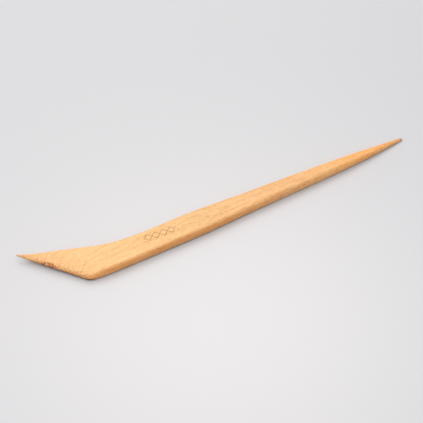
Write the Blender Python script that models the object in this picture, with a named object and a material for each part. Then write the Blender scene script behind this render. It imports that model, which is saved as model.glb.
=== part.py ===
"""A modelling tool for clay, shaped from one strip of beech.

A flared blade with a skew-cut edge is at one end and a long blunt point at the other, with a
flat, round-sided handle between them. The drawing is in millimetres: X runs along the handle's
middle line from the blade's tip to the point, Y runs across it toward the blade's tip, and Z is
counted from the middle of the handle's thickness. The finished tool lies on Z = 0 with its flat
underside down, and its origin is at the middle of its footprint.
"""

import math

import bmesh
import bpy
from mathutils import Matrix, Vector

METRES_PER_MM = 0.001

# Driving dimensions.
LENGTH = 200.0
THICKNESS = 5.2
BLADE_TIP = (0.0, 23.1)
CUT_END = (22.4, -5.25)
HEEL = (25.1, -6.45)
POINT_RADIUS = 0.8

# The two long edges: X and Y of the few points that each smooth curve passes through.
BACK_EDGE = (
    BLADE_TIP,
    (12.0, 17.0),
    (27.0, 11.4),
    (36.0, 8.3),
    (45.0, 6.65),
    (60.0, 5.95),
    (76.0, 6.3),
    (110.0, 4.8),
    (150.0, 3.45),
    (176.0, 2.75),
    (LENGTH, 2.3),
)
FRONT_EDGE = (
    CUT_END,
    (23.5, -6.05),
    HEEL,
    (30.0, -6.95),
    (37.0, -7.15),
    (50.0, -7.05),
    (78.0, -6.85),
    (110.0, -5.3),
    (150.0, -3.75),
    (176.0, -2.1),
    (LENGTH, 0.9),
)

# Down the length, as X and size: the thickness, how far its middle drops toward the point, and
# the rounding of the four long arrises.
THICKNESS_ALONG = (
    (0.0, THICKNESS),
    (112.0, THICKNESS),
    (150.0, 4.7),
    (176.0, 3.6),
    (LENGTH, 1.1),
)
DROP_ALONG = (
    (0.0, 0.0),
    (112.0, 0.0),
    (150.0, 0.24),
    (176.0, 0.78),
    (LENGTH, 2.0),
)
ROUNDING_ALONG = (
    (0.0, 1.5),
    (60.0, 1.6),
    (LENGTH, 1.5),
)
MOST_ROUND = 0.96

# The skew-cut edge: both faces ease down to it, the lower one hardly at the heel, where the
# edge's middle drops by HEEL_EDGE_DROP. The nose of the edge is rounded over.
TIP_EDGE_THICKNESS = 1.3
HEEL_EDGE_THICKNESS = 3.1
HEEL_EDGE_DROP = 0.8
EDGE_RUN = 9.0
NOSE_SHARE = 0.3
NOSE_RUN = 1.4

# Cross-sections: in the blade they lie along the skew cut, and they turn square to the handle.
CORNER_SEGMENTS = 6
SKEW_RUN = 60.0
BLADE_SECTIONS = 26
BLADE_CROWDING = 1.8
HANDLE_SECTIONS = 24
POINT_SECTIONS = 6
POINT_SWEEP = math.radians(78)

# Half the distance between the two places on a long edge that give its direction.
DIRECTION_STEP = 0.2

WOOD_COLOUR = (0.74, 0.45, 0.20, 1.0)
WOOD_ROUGHNESS = 0.55
SMOOTH_ANGLE = math.radians(35)


def clear_scene():
    for obj in list(bpy.data.objects):
        bpy.data.objects.remove(obj, do_unlink=True)


def smooth_step(t):
    return t * t * (3 - 2 * t)


def slopes_of(points):
    """Slope at each point of a smooth curve that doesn't overshoot its points."""
    rises = [(b[1] - a[1]) / (b[0] - a[0]) for a, b in zip(points, points[1:])]
    inner = [2 * a * b / (a + b) if a * b > 0 else 0 for a, b in zip(rises, rises[1:])]
    return [rises[0], *inner, rises[-1]]


def curve_at(points, x):
    """Height at x of the smooth curve through the points."""
    slopes = slopes_of(points)
    passed = sum(x >= point[0] for point in points)
    i = min(max(passed - 1, 0), len(points) - 2)
    (x0, y0), (x1, y1) = points[i : i + 2]
    t = (x - x0) / (x1 - x0)
    rise = (y1 - y0) / (x1 - x0)
    bend = (1 - t) * (slopes[i] - rise) - t * (slopes[i + 1] - rise)
    return y0 + (x - x0) * (rise + (1 - t) * bend)


def edge_point(points, x):
    return Vector((x, curve_at(points, x)))


def edge_direction(points, x):
    """Unit vector along a long edge at x."""
    ahead = edge_point(points, x + DIRECTION_STEP)
    return (ahead - edge_point(points, x - DIRECTION_STEP)).normalized()


def place_by_cut(place):
    """How far down the skew cut a place in the plan lies, from 0 to 1, and how far in from it."""
    cut = Vector(CUT_END) - Vector(BLADE_TIP)
    offset = place - Vector(BLADE_TIP)
    down = offset.dot(cut) / cut.length_squared
    inward = cut.normalized().cross(offset)
    return min(max(down, 0.0), 1.0), max(inward, 0.0)


def rise_from_cut(inward):
    """Share of the ease from the cut edge to the full thickness, this far in from the cut."""
    return math.sin(math.pi / 2 * min(1.0, inward / EDGE_RUN))


def thickness_at(place):
    """Thickness of the wood at a place in the plan."""
    full = curve_at(THICKNESS_ALONG, place.x)
    down, inward = place_by_cut(place)
    edge = TIP_EDGE_THICKNESS + (HEEL_EDGE_THICKNESS - TIP_EDGE_THICKNESS) * down
    eased = edge + (full - edge) * rise_from_cut(inward)
    short_of_nose = 1 - min(1.0, inward / NOSE_RUN)
    nose = edge * NOSE_SHARE
    return nose + (eased - nose) * math.sqrt(1 - short_of_nose**2)


def drop_at(place):
    """How far the middle of the thickness lies below its level in the handle."""
    down, inward = place_by_cut(place)
    at_cut = HEEL_EDGE_DROP * down * (1 - rise_from_cut(inward))
    return curve_at(DROP_ALONG, place.x) + at_cut


def radius_at(place, half):
    """Rounding radius of an arris, where the wood is twice half thick."""
    return min(curve_at(ROUNDING_ALONG, place.x), MOST_ROUND * half)


def corner(side, across, reach, up, shrink):
    """Points round one corner of a cross-section, from the long side in to the broad face."""
    points = []
    for i in range(CORNER_SEGMENTS + 1):
        turn = math.pi / 2 * i / CORNER_SEGMENTS
        place = side + across * reach * (1 - math.cos(turn))
        half = thickness_at(place) / 2 * shrink
        height = half - radius_at(place, half) * (1 - math.sin(turn))
        points.append((place.x, place.y, up * height - drop_at(place)))
    return points


def side_corners(side, across, direction, width, shrink):
    """The lower and the upper corner at one long side."""
    half = thickness_at(side) / 2 * shrink
    lean = abs(across.cross(direction))
    reach = min(radius_at(side, half) / lean, MOST_ROUND * width / 2)
    return [corner(side, across, reach, up, shrink) for up in (-1, 1)]


def section(x_front, x_back, shrink):
    """Points round one cross-section."""
    front = edge_point(FRONT_EDGE, x_front)
    back = edge_point(BACK_EDGE, x_back)
    middle = (front + back) / 2
    front = middle + (front - middle) * shrink
    back = middle + (back - middle) * shrink
    width = (back - front).length
    across = (back - front) / width
    front_way = edge_direction(FRONT_EDGE, max(x_front, HEEL[0] + POINT_RADIUS))
    back_way = edge_direction(BACK_EDGE, x_back)
    front_low, front_high = side_corners(front, across, front_way, width, shrink)
    back_low, back_high = side_corners(back, -across, back_way, width, shrink)
    return front_low + back_low[::-1] + back_high + front_high[::-1]


def blade_sections():
    """Cross-sections from the skew-cut edge to where they are square to the handle."""
    for i in range(BLADE_SECTIONS):
        x = SKEW_RUN * (i / BLADE_SECTIONS) ** BLADE_CROWDING
        lead = CUT_END[0] * (1 - smooth_step(x / SKEW_RUN))
        yield section(x + lead, x, 1.0)


def handle_sections():
    """Square cross-sections from the blade to where the point's round end starts."""
    run = LENGTH - POINT_RADIUS - SKEW_RUN
    for i in range(HANDLE_SECTIONS):
        x = SKEW_RUN + run * i / HANDLE_SECTIONS
        yield section(x, x, 1.0)


def point_sections():
    """Shrinking cross-sections that round the point over."""
    for i in range(POINT_SECTIONS + 1):
        turn = POINT_SWEEP * i / POINT_SECTIONS
        x = LENGTH - POINT_RADIUS * (1 - math.sin(turn) / math.sin(POINT_SWEEP))
        yield section(x, x, math.cos(turn))


def add_ring(bm, points):
    """The vertices and edges of one closed cross-section."""
    verts = [bm.verts.new(point) for point in points]
    edges = [bm.edges.new(pair) for pair in zip(verts, verts[1:] + verts[:1])]
    return verts, edges


def loft(rings):
    """A closed mesh over a row of cross-sections, with a flat cap on each end."""
    bm = bmesh.new()
    made = [add_ring(bm, points) for points in rings]
    for (_, near), (_, far) in zip(made, made[1:]):
        bmesh.ops.bridge_loops(bm, edges=near + far)
    bm.faces.new(made[0][0])
    bm.faces.new(made[-1][0])
    bmesh.ops.recalc_face_normals(bm, faces=bm.faces)
    return bm


def stand_on_origin(bm):
    """Turns millimetres to metres and puts the footprint's middle at the origin."""
    lows = [min(vert.co[i] for vert in bm.verts) for i in range(3)]
    highs = [max(vert.co[i] for vert in bm.verts) for i in range(3)]
    foot = Vector(((lows[0] + highs[0]) / 2, (lows[1] + highs[1]) / 2, lows[2]))
    bm.transform(Matrix.Scale(METRES_PER_MM, 4) @ Matrix.Translation(-foot))


def wood():
    """Pale sanded beech with no varnish."""
    material = bpy.data.materials.new("beech")
    material.use_nodes = True
    shader = material.node_tree.nodes["Principled BSDF"]
    shader.inputs["Base Color"].default_value = WOOD_COLOUR
    shader.inputs["Roughness"].default_value = WOOD_ROUGHNESS
    shader.inputs["Metallic"].default_value = 0.0
    return material


def modelling_tool():
    """The whole tool, one piece from the blade to the point."""
    mesh = bpy.data.meshes.new("modelling_tool")
    bm = loft([*blade_sections(), *handle_sections(), *point_sections()])
    stand_on_origin(bm)
    bm.to_mesh(mesh)
    bm.free()
    mesh.shade_smooth()
    mesh.set_sharp_from_angle(angle=SMOOTH_ANGLE)
    mesh.materials.append(wood())
    tool = bpy.data.objects.new("modelling_tool", mesh)
    bpy.context.scene.collection.objects.link(tool)


clear_scene()
modelling_tool()
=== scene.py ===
"""Looks for the beech modelling tool: its fine surface, its wood, and a plain photo studio.

The drawing is in millimetres, as in the CAD model: X runs along the handle's middle line from
the blade's tip to the point, Y runs across it toward the blade's tip, and Z is counted from
the middle of the thickness. The frame's box of the CAD node turns it into metres.
"""

import math

import bmesh
import bpy
import numpy as np
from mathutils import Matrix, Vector, noise


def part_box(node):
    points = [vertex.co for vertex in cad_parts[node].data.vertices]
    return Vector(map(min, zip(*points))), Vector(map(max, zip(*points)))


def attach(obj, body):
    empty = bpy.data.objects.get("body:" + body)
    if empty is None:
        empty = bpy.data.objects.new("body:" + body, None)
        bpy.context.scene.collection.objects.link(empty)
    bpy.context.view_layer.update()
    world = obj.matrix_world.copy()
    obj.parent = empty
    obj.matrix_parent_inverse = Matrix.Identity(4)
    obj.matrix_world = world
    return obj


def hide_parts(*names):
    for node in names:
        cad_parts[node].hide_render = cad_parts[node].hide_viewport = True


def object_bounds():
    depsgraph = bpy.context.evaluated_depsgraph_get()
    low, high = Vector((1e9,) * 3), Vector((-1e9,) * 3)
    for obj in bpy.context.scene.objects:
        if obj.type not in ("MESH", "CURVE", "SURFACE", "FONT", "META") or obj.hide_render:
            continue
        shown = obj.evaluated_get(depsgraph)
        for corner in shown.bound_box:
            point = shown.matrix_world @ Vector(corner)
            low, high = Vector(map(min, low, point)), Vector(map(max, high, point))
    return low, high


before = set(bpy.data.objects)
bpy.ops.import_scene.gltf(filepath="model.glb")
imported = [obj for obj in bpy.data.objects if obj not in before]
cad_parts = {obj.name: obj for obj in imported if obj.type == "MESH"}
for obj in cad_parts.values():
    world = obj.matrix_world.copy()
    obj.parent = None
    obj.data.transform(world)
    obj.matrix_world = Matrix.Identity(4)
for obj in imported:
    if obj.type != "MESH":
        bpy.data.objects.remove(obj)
cad_low, cad_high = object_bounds()

NODE = "modelling_tool"
MM_PER_METRE = 1000

# The drawing: the same driving sizes as the CAD model.
LENGTH = 200.0
THICKNESS = 5.2
BLADE_TIP = (0.0, 23.1)
CUT_END = (22.4, -5.25)
HEEL = (25.1, -6.45)
POINT_RADIUS = 0.8
BACK_EDGE = (
    BLADE_TIP,
    (12.0, 17.0),
    (27.0, 11.4),
    (36.0, 8.3),
    (45.0, 6.65),
    (60.0, 5.95),
    (76.0, 6.3),
    (110.0, 4.8),
    (150.0, 3.45),
    (176.0, 2.75),
    (LENGTH, 2.3),
)
FRONT_EDGE = (
    CUT_END,
    (23.5, -6.05),
    HEEL,
    (30.0, -6.95),
    (37.0, -7.15),
    (50.0, -7.05),
    (78.0, -6.85),
    (110.0, -5.3),
    (150.0, -3.75),
    (176.0, -2.1),
    (LENGTH, 0.9),
)
THICKNESS_ALONG = (
    (0.0, THICKNESS),
    (112.0, THICKNESS),
    (150.0, 4.7),
    (176.0, 3.6),
    (LENGTH, 1.1),
)
DROP_ALONG = (
    (0.0, 0.0),
    (112.0, 0.0),
    (150.0, 0.24),
    (176.0, 0.78),
    (LENGTH, 2.0),
)
ROUNDING_ALONG = (
    (0.0, 1.5),
    (60.0, 1.6),
    (LENGTH, 1.5),
)
MOST_ROUND = 0.96
TIP_EDGE_THICKNESS = 1.3
HEEL_EDGE_THICKNESS = 3.1
HEEL_EDGE_DROP = 0.8
EDGE_RUN = 9.0
NOSE_SHARE = 0.3
NOSE_RUN = 1.4
SKEW_RUN = 60.0

# The pressed mark: a chain of lozenges that touch each other.
MARK_START = np.array((55.8, 0.85))
MARK_END = np.array((67.2, 0.05))
LOZENGES = 4
LOZENGE_HALF = np.array((1.9, 1.9))
STROKE_HALF_WIDTH = 0.24
MARK_DEPTH = 0.16

# The fine surface: how far sanding left it uneven, and how the saw and the clay wore the cut.
SANDING = 0.055
FINE_SANDING_SHARE = 0.35
CUT_ROUGH_RUN = 1.3
CUT_TEAR = 0.22
FINE_TEAR_SHARE = 0.4
CUT_NICK = 0.4
NICK_RARITY = 0.35

# The waves in it, and those that fray the rim of the rubbed spot: their lengths along X, Y and Z,
# and a seed that moves them.
SANDING_WAVES = (24, 7, 7), 3.1
FINE_SANDING_WAVES = (5, 3, 3), 8.4
TEAR_WAVES = (0.9, 0.9, 1.2), 5.7
FINE_TEAR_WAVES = (0.4, 0.4, 0.6), 2.6
NICK_WAVES = (1.5, 1.5, 5), 1.9
BURN_WAVES = (1.1, 1.1, 1.1), 7.3

# Where the tone changes: the narrow sides, which get painted shade deepest toward their feet and
# painted light toward the point, and the arrises, a little paler and smoother.
SIDE_STEEPNESS = 1.7
SIDE_CUTOFF = 0.6
FOOT_FROM = 0.3
FOOT_RUN = 1.5
ARRIS_INWARD = 2.3
ARRIS_HALF_WIDTH = 1.3

# The band along the cut, which grows from the tip to the heel: frayed end grain near the edge,
# and painted light that lifts the eased wood beside it.
CUT_TONE_RUN = 3.0
CUT_TONE_TIP = 0.5
CUT_TONE_GROWTH = 1.3

# A brown rubbed spot part way down the cut.
BURN_DOWN = 0.47
BURN_HALF_RUN = 0.12
BURN_INWARD = 0.3
BURN_REACH = 0.75
BURN_STEEPNESS = 1.3
BURN_SPREAD = 1.1
BURN_RAGGEDNESS = 0.7

# Painted shade under the lip of the cut and on the end of the point.
LIP_SHADE_FROM = 0.3
LIP_SHADE_DEPTH = 0.6
POINT_SHADE_RUN = 1.6
POINT_SHADE_SHARE = 0.7

# How close the cross-sections stand, as X and spacing, and how many points go round them.
SPACING_ALONG = (
    (0.0, 0.1),
    (3.0, 0.6),
    (52.0, 0.9),
    (53.0, 0.14),
    (70.0, 0.14),
    (72.0, 1.2),
    (188.0, 1.2),
    (LENGTH, 0.15),
)
CORNER_STEPS = 5
SIDE_ROWS = 4
FLAT_COLUMNS = 120
FLAT_CROWDING = 0.7
POINT_STEPS = 9
POINT_SWEEP = math.radians(80)

# Half the distance between the two places on a long edge that give its direction.
DIRECTION_STEP = 0.2

# The wood's tone down the tool, from the blade's tip at 0 to the point at 1.
TONES = (
    (0.0, (0.800, 0.506, 0.240)),
    (0.25, (0.743, 0.473, 0.225)),
    (0.4, (0.712, 0.448, 0.210)),
    (0.65, (0.724, 0.425, 0.200)),
    (0.76, (0.768, 0.441, 0.193)),
    (0.87, (0.850, 0.435, 0.158)),
    (1.0, (0.770, 0.410, 0.175)),
)

# What the tone is multiplied by where each of these shows, in the order they are laid on.
TINTS = {
    "dark_patch": (0.96, 0.92, 0.86),
    "pale_patch": (1.02, 1.03, 1.04),
    "late_wood": (0.90, 0.83, 0.74),
    "streak": (0.89, 0.77, 0.58),
    "fibre": (0.82, 0.68, 0.50),
    "mottle": (0.91, 0.84, 0.72),
    "fleck": (0.72, 0.58, 0.40),
    "arris": (1.03, 1.0, 0.96),
    "glow": (1.0, 0.93, 0.74),
    # Painted light: the narrow sides lighter and warmer toward the point.
    "side_painted_light": (1.09, 1.04, 0.98),
    # Painted shade: the narrow sides darker and more orange, fading out toward the point.
    "side_painted_shade": (1.01, 0.75, 0.53),
    "side_line": (0.92, 0.84, 0.76),
    # Painted shade: greyer and darker low on the narrow sides, where they come near the floor.
    "foot_painted_shade": (0.68, 0.90, 1.35),
    # Painted light: the eased wood beside the cut a little lighter.
    "cut": (1.05, 0.99, 0.99),
    "coarse": (0.86, 0.71, 0.58),
    "torn": (1.14, 1.24, 1.42),
    "burn": (0.68, 0.46, 0.36),
    # Painted shade: near-black brown under the lip of the cut and on the end of the point.
    "painted_shade": (0.28, 0.22, 0.18),
    "pressed": (0.50, 0.38, 0.28),
}

# What each of these fades in between: two values of a pattern, or two places down the tool.
FADES = {
    "dark_patch": (0.5, 0.8),
    "pale_patch": (0.5, 0.2),
    "late_wood": (0.5, 0.92),
    "late_wood_end": (1.0, 0.94),
    "streak": (0.5, 0.75),
    "fibre": (0.5, 0.75),
    "mottle": (0.5, 0.75),
    "fleck_chance": (0.3, 0.6),
    "fleck_rim": (0.4, 0.12),
    "bold_place": (0.15, 0.35),
    "glow": (0.45, 0.65),
    "glow_place": (0.6, 0.85),
    "side_painted_light_place": (0.35, 0.6),
    "side_painted_shade_place": (0.75, 0.35),
    "side_line": (0.45, 0.65),
    "coarse": (0.5, 0.58),
    "torn": (0.44, 0.36),
    "burn": (0.3, 0.52),
}

# The wood's patterns: their sizes in millimetres along the fibres, along the growth layers and
# across them, and how much finer detail they hold.
PATTERNS = {
    "fibre": ((8, 0.17, 0.17), 3.0),
    "streak": ((9, 0.33, 0.33), 3.0),
    "patch": ((34, 2.6, 2.6), 2.0),
    "mottle": ((1.1, 0.5, 0.5), 2.0),
    "speckle": ((1.2, 0.8, 0.8), 2.0),
    "glow": ((7, 1.3, 1.3), 2.0),
}
FLECK_CELL = (3.2, 0.36, 1.2)

# The growth layers lean about the tool's length, sweep at the blade, and drift a little.
LAYER_LEAN = math.radians(-30)
LAYER_RUNOUT = math.radians(1.2)
LAYER_THICKNESS = 1.7
SWEEP_FROM = 55.0
SWEEP = 0.003
DRIFT_PATTERN = (38, 9, 9), 2.0
DRIFT = (0, 2.5, 2.5)

# How strong the grain is, and how much bolder it gets past the blade. The frayed part of the cut
# is a power of the cut's own share.
LATE_WOOD_STRENGTH = 0.4
STREAK_STRENGTH = 1.0
STREAK_BOLDER = 0.3
FLECK_STRENGTH = 0.35
FLECK_BOLDER = 0.6
FRAYED_POWER = 4.0

# The wood's roughness, what the grain and the wear add to it, and its bump.
ROUGHNESS = 0.5
FIBRE_ROUGHNESS = 0.18
FLECK_ROUGHNESS = -0.1
ARRIS_ROUGHNESS = -0.06
FRAYED_ROUGHNESS = 0.2
SPECULAR = 0.35
FLECK_BUMP = -0.6
COARSE_BUMP = -2.0
BUMP_STRENGTH = 0.6
BUMP_METRES = 0.00006

# The studio: camera, lights and floor, with places worked out from the tool's length.
SPAN = (cad_high - cad_low).x
CAMERA_AZIMUTH = math.radians(-30.05)
CAMERA_ELEVATION = math.radians(45)
CAMERA_DISTANCE = 2.6 * SPAN
CAMERA_LENS = 93.95
LOOK_AT = Vector((-0.0422, -0.013125, 0)) * SPAN
KEY_COLOUR = (1.09, 0.995, 0.92)
FILL_COLOUR = (0.935, 1.005, 1.06, 1)
FILL_STRENGTH = 0.7
FLOOR_COLOUR = (0.582, 0.577, 0.590, 1)
FLOOR_ROUGHNESS = 0.9
FLOOR_REACH = 30 * SPAN
FLOOR_GAP = 0.00002

# Each light's name, azimuth and elevation in degrees, distance and size in tool lengths, watts,
# and the place on the floor that it is aimed at, in tool lengths.
LIGHTS = (
    ("softbox_behind", 150, 50, 4, 3, 2.7, (0, 0)),
    ("softbox_left", -110, 40, 4, 3, 1.5, (0, 0)),
    ("pool_overhead", -30, 88, 0.8, 0.6, 0.1, (-0.2, -0.35)),
)


def smooth_step(t):
    return t * t * (3 - 2 * t)


def smooth_curve(points, x):
    """Height at each x of a smooth curve through the points that doesn't overshoot them."""
    px, py = np.array(points, float).T
    runs = np.diff(px)
    rises = np.diff(py) / runs
    same_way = rises[:-1] * rises[1:] > 0
    total = np.where(same_way, rises[:-1] + rises[1:], 1.0)
    inner = np.where(same_way, 2 * rises[:-1] * rises[1:] / total, 0.0)
    slopes = np.concatenate([rises[:1], inner, rises[-1:]])
    i = np.clip(np.searchsorted(px, x, side="right") - 1, 0, len(runs) - 1)
    t = (x - px[i]) / runs[i]
    bend = (1 - t) * (slopes[i] - rises[i]) - t * (slopes[i + 1] - rises[i])
    return py[i] + (x - px[i]) * (rises[i] + (1 - t) * bend)


def edge_points(points, x):
    return np.stack([x, smooth_curve(points, x)], axis=1)


def edge_directions(points, x):
    run = edge_points(points, x + DIRECTION_STEP) - edge_points(points, x - DIRECTION_STEP)
    return run / np.linalg.norm(run, axis=1, keepdims=True)


def cross(a, b):
    return a[..., 0] * b[..., 1] - a[..., 1] * b[..., 0]


def place_by_cut(place):
    """How far down the skew cut places in the plan lie, from 0 to 1, and how far in from it."""
    cut = np.array(CUT_END) - BLADE_TIP
    offset = place - np.array(BLADE_TIP)
    down = offset @ cut / (cut @ cut)
    inward = cross(cut / np.linalg.norm(cut), offset)
    return np.clip(down, 0, 1), np.maximum(inward, 0)


def rise_from_cut(inward):
    """Share of the ease from the cut edge to the full thickness, this far in from the cut."""
    return np.sin(math.pi / 2 * np.minimum(1.0, inward / EDGE_RUN))


def edge_thickness(down):
    """Thickness of the cut edge, this share of the way down it."""
    return TIP_EDGE_THICKNESS + (HEEL_EDGE_THICKNESS - TIP_EDGE_THICKNESS) * down


def thickness_at(place):
    full = smooth_curve(THICKNESS_ALONG, place[..., 0])
    down, inward = place_by_cut(place)
    edge = edge_thickness(down)
    eased = edge + (full - edge) * rise_from_cut(inward)
    short_of_nose = 1 - np.minimum(1.0, inward / NOSE_RUN)
    nose = edge * NOSE_SHARE
    return nose + (eased - nose) * np.sqrt(1 - short_of_nose**2)


def drop_at(place):
    """How far the middle of the thickness lies below its level in the handle."""
    down, inward = place_by_cut(place)
    at_cut = HEEL_EDGE_DROP * down * (1 - rise_from_cut(inward))
    return smooth_curve(DROP_ALONG, place[..., 0]) + at_cut


def radius_at(place, half):
    return np.minimum(smooth_curve(ROUNDING_ALONG, place[..., 0]), MOST_ROUND * half)


def stations():
    """X on the front edge, X on the back edge and shrink of every cross-section."""
    spacing_x, spacing = zip(*SPACING_ALONG)
    straight = [0.0]
    while straight[-1] < LENGTH - POINT_RADIUS:
        straight.append(straight[-1] + float(np.interp(straight[-1], spacing_x, spacing)))
    back = np.array(straight[:-1])
    turned = np.clip(back / SKEW_RUN, 0, 1)
    front = back + CUT_END[0] * (1 - smooth_step(turned))
    turns = np.linspace(0, POINT_SWEEP, POINT_STEPS + 1)[1:]
    end = LENGTH - POINT_RADIUS * (1 - np.sin(turns) / math.sin(POINT_SWEEP))
    shrink = np.concatenate([np.ones(len(back)), np.cos(turns)])
    return np.concatenate([front, end]), np.concatenate([back, end]), shrink


def flat_shares():
    """Where the columns stand across a broad face, closer together along its middle."""
    even = np.linspace(-1, 1, FLAT_COLUMNS + 2)[1:-1]
    return 0.5 + 0.5 * (FLAT_CROWDING * even + (1 - FLAT_CROWDING) * even**3)


def side_reach(side, across, directions, width, shrink):
    """How far the rounding reaches in from a long side, along each cross-section."""
    half = thickness_at(side) / 2 * shrink
    lean = np.abs(cross(across, directions))
    return np.minimum(radius_at(side, half) / lean, MOST_ROUND * width / 2)


def face_grid():
    """Plan places and half heights of the broad faces' points: one row for each section."""
    x_front, x_back, shrink = stations()
    front = edge_points(FRONT_EDGE, x_front)
    back = edge_points(BACK_EDGE, x_back)
    middle = (front + back) / 2
    front = middle + (front - middle) * shrink[:, None]
    back = middle + (back - middle) * shrink[:, None]
    width = np.linalg.norm(back - front, axis=1)
    across = (back - front) / width[:, None]
    past_heel = np.maximum(x_front, HEEL[0] + POINT_RADIUS)
    reach_front = side_reach(front, across, edge_directions(FRONT_EDGE, past_heel), width, shrink)
    reach_back = side_reach(back, across, edge_directions(BACK_EDGE, x_back), width, shrink)
    turns = np.linspace(0, math.pi / 2, CORNER_STEPS + 1)
    near = reach_front[:, None] * (1 - np.cos(turns))
    far = width[:, None] - reach_back[:, None] * (1 - np.cos(turns[::-1]))
    flat = near[:, -1:] + (far[:, :1] - near[:, -1:]) * flat_shares()
    distance = np.concatenate([near, flat, far], axis=1)
    drop = np.concatenate([1 - np.sin(turns), np.zeros(FLAT_COLUMNS), 1 - np.sin(turns[::-1])])
    place = front[:, None, :] + across[:, None, :] * distance[:, :, None]
    half = thickness_at(place) / 2 * shrink[:, None]
    height = half - radius_at(place, half) * drop
    return place, height


def grid_shape():
    """Points of the whole skin, and its faces as rows of four point numbers."""
    place, height = face_grid()
    rows, columns = height.shape
    levels = np.linspace(-1, 1, SIDE_ROWS + 1)
    # Every level holds a full grid, of which only the rim is used between the two faces.
    points = np.empty((SIDE_ROWS + 1, rows, columns, 3))
    points[..., :2] = place
    points[..., 2] = height * levels[:, None, None] - drop_at(place)
    number = np.arange(points[..., 0].size).reshape(points.shape[:3])
    under, top = number[0], number[-1]
    back_side = number[1:-1, :, -1].T
    front_side = number[-2:0:-1, :, 0].T
    rings = np.concatenate([under, back_side, top[:, ::-1], front_side], axis=1)
    after = np.roll(rings, -1, axis=1)
    skin = np.stack([rings[:-1], after[:-1], after[1:], rings[1:]], axis=-1).reshape(-1, 4)
    caps = [cap_faces(number[:, 0]), cap_faces(number[:, -1])[:, ::-1]]
    faces = np.concatenate([skin, *caps])
    used, faces = np.unique(faces, return_inverse=True)
    return points.reshape(-1, 3)[used], faces.reshape(-1, 4)


def cap_faces(number):
    corners = number[:-1, :-1], number[1:, :-1], number[1:, 1:], number[:-1, 1:]
    return np.stack(corners, axis=-1).reshape(-1, 4)


def wave(points, stretch, seed):
    """Smooth noise at each point, about -1 to 1, with waves as long as stretch."""
    scaled = points / np.array(stretch) + seed
    return np.array([noise.noise(Vector(p)) for p in scaled])


def mark_strokes(points):
    """How deep each point lies in the pressed mark, from 0 to 1."""
    run = MARK_END - MARK_START
    along_axis = run / np.linalg.norm(run)
    offset = points[:, :2] - MARK_START
    along = offset @ along_axis
    beside = cross(along_axis, offset)
    pitch = np.linalg.norm(run) / (LOZENGES - 1)
    steepness = np.linalg.norm(1 / LOZENGE_HALF)
    nearest = np.full(len(points), np.inf)
    for i in range(LOZENGES):
        rim = np.abs(along - i * pitch) / LOZENGE_HALF[0] + np.abs(beside) / LOZENGE_HALF[1]
        nearest = np.minimum(nearest, np.abs(rim - 1) / steepness)
    depth = np.clip(1 - nearest / STROKE_HALF_WIDTH, 0, 1)
    return np.where(points[:, 2] > 0, smooth_step(depth), 0.0)


def surface_detail(points, strokes):
    """How far each point moves along its normal, in millimetres."""
    near_cut = np.exp(-((place_by_cut(points[:, :2])[1] / CUT_ROUGH_RUN) ** 2))
    # The waves lie one lower than they would around zero, since sanding only takes wood away.
    fine_sanding = FINE_SANDING_SHARE * wave(points, *FINE_SANDING_WAVES)
    sanding = SANDING * (wave(points, *SANDING_WAVES) + fine_sanding - 1)
    fine_tear = FINE_TEAR_SHARE * wave(points, *FINE_TEAR_WAVES)
    torn = CUT_TEAR * (wave(points, *TEAR_WAVES) + fine_tear)
    nicks = -CUT_NICK * np.clip(wave(points, *NICK_WAVES) - NICK_RARITY, 0, 1)
    return sanding + (torn + nicks) * near_cut - MARK_DEPTH * strokes


def tone_and_painted_light_shares(points, normals, strokes):
    """Where the wood's tone changes, and where painted light and shade lie, as a share from 0 to
    1 at each point.
    """
    x, y = points[:, 0], points[:, 1]
    down, inward = place_by_cut(points[:, :2])
    from_side = np.minimum(y - smooth_curve(FRONT_EDGE, x), smooth_curve(BACK_EDGE, x) - y)
    aside = (inward - BURN_INWARD) / BURN_REACH
    spot = ((down - BURN_DOWN) / BURN_HALF_RUN) ** 2 + aside**2
    ragged = BURN_SPREAD - spot + BURN_RAGGEDNESS * wave(points, *BURN_WAVES)
    cut_tone = np.clip(CUT_TONE_TIP + CUT_TONE_GROWTH * down, 0, 1)
    # Painted shade: the lower part of the cut's lip, and the last of the point.
    lip = NOSE_SHARE / 2 * edge_thickness(down)
    level = points[:, 2] + drop_at(points[:, :2])
    under_lip = np.clip((-level / lip - LIP_SHADE_FROM) / LIP_SHADE_DEPTH, 0, 1)
    lip_shade = under_lip * np.exp(-((inward / NOSE_RUN) ** 2))
    at_point = np.clip((x - LENGTH) / POINT_SHADE_RUN + 1, 0, 1)
    return {
        "pressed": strokes,
        "side": np.clip(SIDE_STEEPNESS * np.abs(normals[:, 1]) - SIDE_CUTOFF, 0, 1),
        # How low on the side a point lies, for the painted shade near the floor.
        "low": np.clip((-level - FOOT_FROM) / FOOT_RUN, 0, 1),
        # The band along the cut, for its frayed end grain and the painted light beside it.
        "cut": np.exp(-((inward / CUT_TONE_RUN) ** 2)) * cut_tone,
        "arris": np.exp(-(((from_side - ARRIS_INWARD) / ARRIS_HALF_WIDTH) ** 2)),
        "burn": np.clip(BURN_STEEPNESS * ragged, 0, 1),
        # Painted shade under the cut's lip and at the point's end.
        "painted_shade": np.maximum(lip_shade, POINT_SHADE_SHARE * at_point),
    }


def vertex_normals(mesh):
    normals = np.empty(len(mesh.vertices) * 3, np.float32)
    mesh.vertex_normals.foreach_get("vector", normals)
    return normals.reshape(-1, 3)


def in_frame(points):
    """Points of the drawing in metres, where the CAD node's box is."""
    low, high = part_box(NODE)
    metres = (high.x - low.x) / LENGTH
    corner = np.array((0.0, min(y for _, y in FRONT_EDGE), -THICKNESS / 2))
    return (points - corner) * metres + np.array(low)


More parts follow.
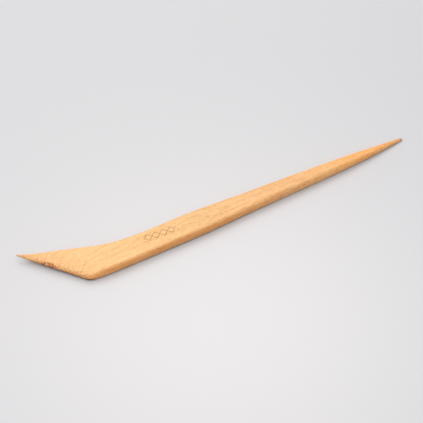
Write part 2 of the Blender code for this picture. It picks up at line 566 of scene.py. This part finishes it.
def make_tool():
    """The whole tool as one fine mesh."""
    points, faces = grid_shape()
    mesh = bpy.data.meshes.new("tool_wood")
    mesh.from_pydata(points.tolist(), [], faces.tolist())
    normals = vertex_normals(mesh)
    strokes = mark_strokes(points)
    for name, share in tone_and_painted_light_shares(points, normals, strokes).items():
        attribute = mesh.attributes.new(name, "FLOAT", "POINT")
        attribute.data.foreach_set("value", share.astype(np.float32))
    moved = points + normals * surface_detail(points, strokes)[:, None]
    mesh.vertices.foreach_set("co", in_frame(moved).astype(np.float32).ravel())
    mesh.update()
    mesh.shade_smooth()
    mesh.materials.append(beech())
    tool = bpy.data.objects.new("tool_wood", mesh)
    bpy.context.scene.collection.objects.link(tool)
    return tool


class Nodes:
    """Adds nodes to one material, and gives back the sockets that the next ones take."""

    def __init__(self, material):
        material.use_nodes = True
        self.tree = material.node_tree
        self.shader = self.tree.nodes["Principled BSDF"]

    def put(self, socket, value):
        if isinstance(value, bpy.types.NodeSocket):
            self.tree.links.new(value, socket)
        else:
            socket.default_value = value

    def node(self, kind, inputs=(), **settings):
        made = self.tree.nodes.new(kind)
        for name, value in settings.items():
            setattr(made, name, value)
        for name, value in dict(inputs).items():
            self.put(made.inputs[name], value)
        return made

    def math(self, operation, *values):
        made = self.node("ShaderNodeMath", operation=operation)
        for socket, value in zip(made.inputs, values):
            self.put(socket, value)
        return made.outputs[0]

    def vector(self, operation, *values):
        made = self.node("ShaderNodeVectorMath", operation=operation)
        for socket, value in zip(made.inputs, values):
            self.put(socket, value)
        return made.outputs[0]

    def both(self, first, second):
        """The product of two shares: 1 only where both are."""
        return self.math("MULTIPLY", first, second)

    def weighted(self, base, *pairs):
        """The base plus each value times its weight."""
        for value, weight in pairs:
            base = self.math("MULTIPLY_ADD", value, weight, base)
        return base

    def place(self, kind):
        return self.node("ShaderNodeTexCoord").outputs[kind]

    def axis(self, vector, number):
        """One coordinate of a vector: X is number 0."""
        return self.node("ShaderNodeSeparateXYZ", {"Vector": vector}).outputs[number]

    def stretched(self, place, sizes):
        """The place counted in cells of these sizes, in millimetres."""
        return self.vector("MULTIPLY", place, [1 / size for size in sizes])

    def noise(self, place, sizes, detail, colour=False):
        inputs = {"Vector": self.stretched(place, sizes), "Scale": 1.0, "Detail": detail}
        return self.node("ShaderNodeTexNoise", inputs).outputs["Color" if colour else "Fac"]

    def cells(self, place, sizes):
        """Distance to the nearest cell's middle, and a value that is random for each cell."""
        inputs = {"Vector": self.stretched(place, sizes), "Scale": 1.0}
        made = self.node("ShaderNodeTexVoronoi", inputs)
        parts = self.node("ShaderNodeSeparateColor", {"Color": made.outputs["Color"]})
        return made.outputs["Distance"], parts.outputs[0]

    def fade(self, value, name):
        """0 at the first value of the named fade, 1 at its second, and smooth in between."""
        start, full = FADES[name]
        inputs = {"Value": value, "From Min": start, "From Max": full}
        made = self.node("ShaderNodeMapRange", inputs, interpolation_type="SMOOTHSTEP")
        return made.outputs[0]

    def tint(self, colour, share, by):
        """The colour multiplied by another where share is 1, and left as it is where it is 0."""
        made = self.node("ShaderNodeMix", data_type="RGBA", blend_type="MULTIPLY")
        named = [socket for socket in made.inputs if socket.enabled]
        for socket, value in zip(named, (share, colour, (*by, 1))):
            self.put(socket, value)
        return next(socket for socket in made.outputs if socket.enabled)

    def ramp(self, value, stops):
        """Colours that follow value, from (value, colour) pairs in order from 0 to 1."""
        made = self.node("ShaderNodeValToRGB", {"Fac": value})
        elements = made.color_ramp.elements
        for position, _ in stops[1:-1]:
            elements.new(position)
        for element, (_, colour) in zip(elements, stops):
            element.color = (*colour, 1)
        return made.outputs[0]

    def attribute(self, name):
        return self.node("ShaderNodeAttribute", attribute_name=name).outputs["Fac"]


def grain_place(nodes):
    """Millimetres along the fibres, along the growth layers and across them."""
    place = nodes.vector("MULTIPLY", nodes.place("Object"), [MM_PER_METRE] * 3)
    short_of = nodes.math("SUBTRACT", SWEEP_FROM - LENGTH / 2, nodes.axis(place, 0))
    before = nodes.math("MAXIMUM", short_of, 0.0)
    rise = nodes.math("MULTIPLY", nodes.math("MULTIPLY", before, before), SWEEP)
    swept = nodes.vector("ADD", place, nodes.node("ShaderNodeCombineXYZ", {"Y": rise}).outputs[0])
    turned = {"Vector": swept, "Rotation": (LAYER_LEAN, LAYER_RUNOUT, 0)}
    leant = nodes.node("ShaderNodeMapping", turned).outputs[0]
    drift = nodes.noise(leant, *DRIFT_PATTERN, colour=True)
    centred = nodes.vector("SUBTRACT", drift, (0.5, 0.5, 0.5))
    return nodes.vector("ADD", leant, nodes.vector("MULTIPLY", centred, DRIFT))


def grain_patterns(nodes):
    """The value of every pattern in the wood, by name."""
    place = grain_place(nodes)
    layer = nodes.math("FRACT", nodes.math("DIVIDE", nodes.axis(place, 2), LAYER_THICKNESS))
    distance, chance = nodes.cells(place, FLECK_CELL)
    grain = {name: nodes.noise(place, *pattern) for name, pattern in PATTERNS.items()}
    grain["late"] = nodes.both(nodes.fade(layer, "late_wood"), nodes.fade(layer, "late_wood_end"))
    spindle = nodes.fade(distance, "fleck_rim")
    grain["fleck"] = nodes.both(spindle, nodes.fade(chance, "fleck_chance"))
    return grain


def grain_shares(nodes, grain, along):
    """How much each tint of the grain shows."""
    bold = nodes.fade(along, "bold_place")
    streaks = nodes.weighted(STREAK_STRENGTH, (bold, STREAK_BOLDER))
    flecks = nodes.weighted(FLECK_STRENGTH, (bold, FLECK_BOLDER))
    return {
        "dark_patch": nodes.fade(grain["patch"], "dark_patch"),
        "pale_patch": nodes.fade(grain["patch"], "pale_patch"),
        "late_wood": nodes.math("MULTIPLY", grain["late"], LATE_WOOD_STRENGTH),
        "streak": nodes.both(streaks, nodes.fade(grain["streak"], "streak")),
        "fibre": nodes.fade(grain["fibre"], "fibre"),
        "mottle": nodes.fade(grain["mottle"], "mottle"),
        "fleck": nodes.both(grain["fleck"], flecks),
        "glow": nodes.both(nodes.fade(along, "glow_place"), nodes.fade(grain["glow"], "glow")),
    }


def side_shares(nodes, grain, along):
    """How much each tint of the narrow sides shows: grain lines, and painted light and shade."""
    side = nodes.attribute("side")
    dark = nodes.both(side, nodes.fade(along, "side_painted_shade_place"))
    return {
        # Painted light toward the point, and painted shade that deepens the sides and darkens
        # them low down.
        "side_painted_light": nodes.both(side, nodes.fade(along, "side_painted_light_place")),
        "side_painted_shade": dark,
        "side_line": nodes.both(side, nodes.fade(grain["streak"], "side_line")),
        "foot_painted_shade": nodes.both(dark, nodes.attribute("low")),
    }


def wear_and_painted_light_shares(nodes, speckle, frayed):
    """How much each tint of the cut and of the worn places shows, with painted light beside the
    cut and painted shade under its lip and at the point.
    """
    return {
        "arris": nodes.attribute("arris"),
        # Painted light beside the cut.
        "cut": nodes.attribute("cut"),
        "coarse": nodes.both(frayed, nodes.fade(speckle, "coarse")),
        "torn": nodes.both(frayed, nodes.fade(speckle, "torn")),
        "burn": nodes.both(nodes.attribute("burn"), nodes.fade(speckle, "burn")),
        # Painted shade under the cut's lip and at the point's end.
        "painted_shade": nodes.attribute("painted_shade"),
        "pressed": nodes.attribute("pressed"),
    }


def roughness(nodes, grain, frayed):
    return nodes.weighted(
        ROUGHNESS,
        (grain["fibre"], FIBRE_ROUGHNESS),
        (grain["fleck"], FLECK_ROUGHNESS),
        (nodes.attribute("arris"), ARRIS_ROUGHNESS),
        (frayed, FRAYED_ROUGHNESS),
    )


def bump(nodes, grain, coarse):
    height = nodes.weighted(grain["fibre"], (grain["fleck"], FLECK_BUMP), (coarse, COARSE_BUMP))
    inputs = {"Height": height, "Strength": BUMP_STRENGTH, "Distance": BUMP_METRES}
    return nodes.node("ShaderNodeBump", inputs).outputs[0]


def beech():
    """Bare sanded beech: faint growth layers, fine ray flecks, streaks and a worn surface, with
    painted shade on the sides, under the cut's lip and at the point, and painted light beside the
    cut and on the sides toward the point.
    """
    material = bpy.data.materials.new("beech")
    nodes = Nodes(material)
    grain = grain_patterns(nodes)
    along = nodes.axis(nodes.place("Generated"), 0)
    frayed = nodes.math("POWER", nodes.attribute("cut"), FRAYED_POWER)
    shares = {
        **grain_shares(nodes, grain, along),
        **side_shares(nodes, grain, along),
        **wear_and_painted_light_shares(nodes, grain["speckle"], frayed),
    }
    colour = nodes.ramp(along, TONES)
    for name, by in TINTS.items():
        colour = nodes.tint(colour, shares[name], by)
    nodes.put(nodes.shader.inputs["Base Color"], colour)
    nodes.put(nodes.shader.inputs["Roughness"], roughness(nodes, grain, frayed))
    nodes.put(nodes.shader.inputs["Specular IOR Level"], SPECULAR)
    nodes.put(nodes.shader.inputs["Normal"], bump(nodes, grain, shares["coarse"]))
    return material


def direction(azimuth, elevation):
    """From the object toward something at that azimuth and elevation."""
    level = math.cos(elevation)
    return Vector((math.sin(azimuth) * level, -math.cos(azimuth) * level, math.sin(elevation)))


def add_camera():
    camera = bpy.data.objects.new("camera", bpy.data.cameras.new("camera"))
    bpy.context.scene.collection.objects.link(camera)
    back = direction(CAMERA_AZIMUTH, CAMERA_ELEVATION)
    camera.location = LOOK_AT + back * CAMERA_DISTANCE
    camera.rotation_euler = back.to_track_quat("Z", "Y").to_euler()
    camera.data.lens = CAMERA_LENS
    bpy.context.scene.camera = camera


def add_light(name, azimuth, elevation, distance, size, watts, aim):
    """A round soft light, as one row of the table of lights gives it."""
    data = bpy.data.lights.new(name, "AREA")
    data.shape = "DISK"
    data.size = size * SPAN
    data.energy = watts
    data.color = KEY_COLOUR
    light = bpy.data.objects.new(name, data)
    away = direction(math.radians(azimuth), math.radians(elevation))
    light.location = (away * distance + Vector((*aim, 0))) * SPAN
    light.rotation_euler = away.to_track_quat("Z", "Y").to_euler()
    light.visible_camera = False
    bpy.context.scene.collection.objects.link(light)


def add_floor():
    mesh = bpy.data.meshes.new("floor")
    bm = bmesh.new()
    bmesh.ops.create_grid(bm, x_segments=1, y_segments=1, size=FLOOR_REACH)
    bm.to_mesh(mesh)
    bm.free()
    material = bpy.data.materials.new("floor")
    material.use_nodes = True
    shader = material.node_tree.nodes["Principled BSDF"]
    shader.inputs["Base Color"].default_value = FLOOR_COLOUR
    shader.inputs["Roughness"].default_value = FLOOR_ROUGHNESS
    mesh.materials.append(material)
    floor = bpy.data.objects.new("floor", mesh)
    floor.location.z = cad_low.z - FLOOR_GAP
    bpy.context.scene.collection.objects.link(floor)


def add_world():
    world = bpy.data.worlds.new("studio")
    world.use_nodes = True
    background = world.node_tree.nodes["Background"]
    background.inputs["Color"].default_value = FILL_COLOUR
    background.inputs["Strength"].default_value = FILL_STRENGTH
    bpy.context.scene.world = world


add_camera()
add_world()
for light in LIGHTS:
    add_light(*light)
add_floor()
bpy.context.scene.view_settings.view_transform = "Standard"

tool = make_tool()
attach(tool, "root")
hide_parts(NODE)
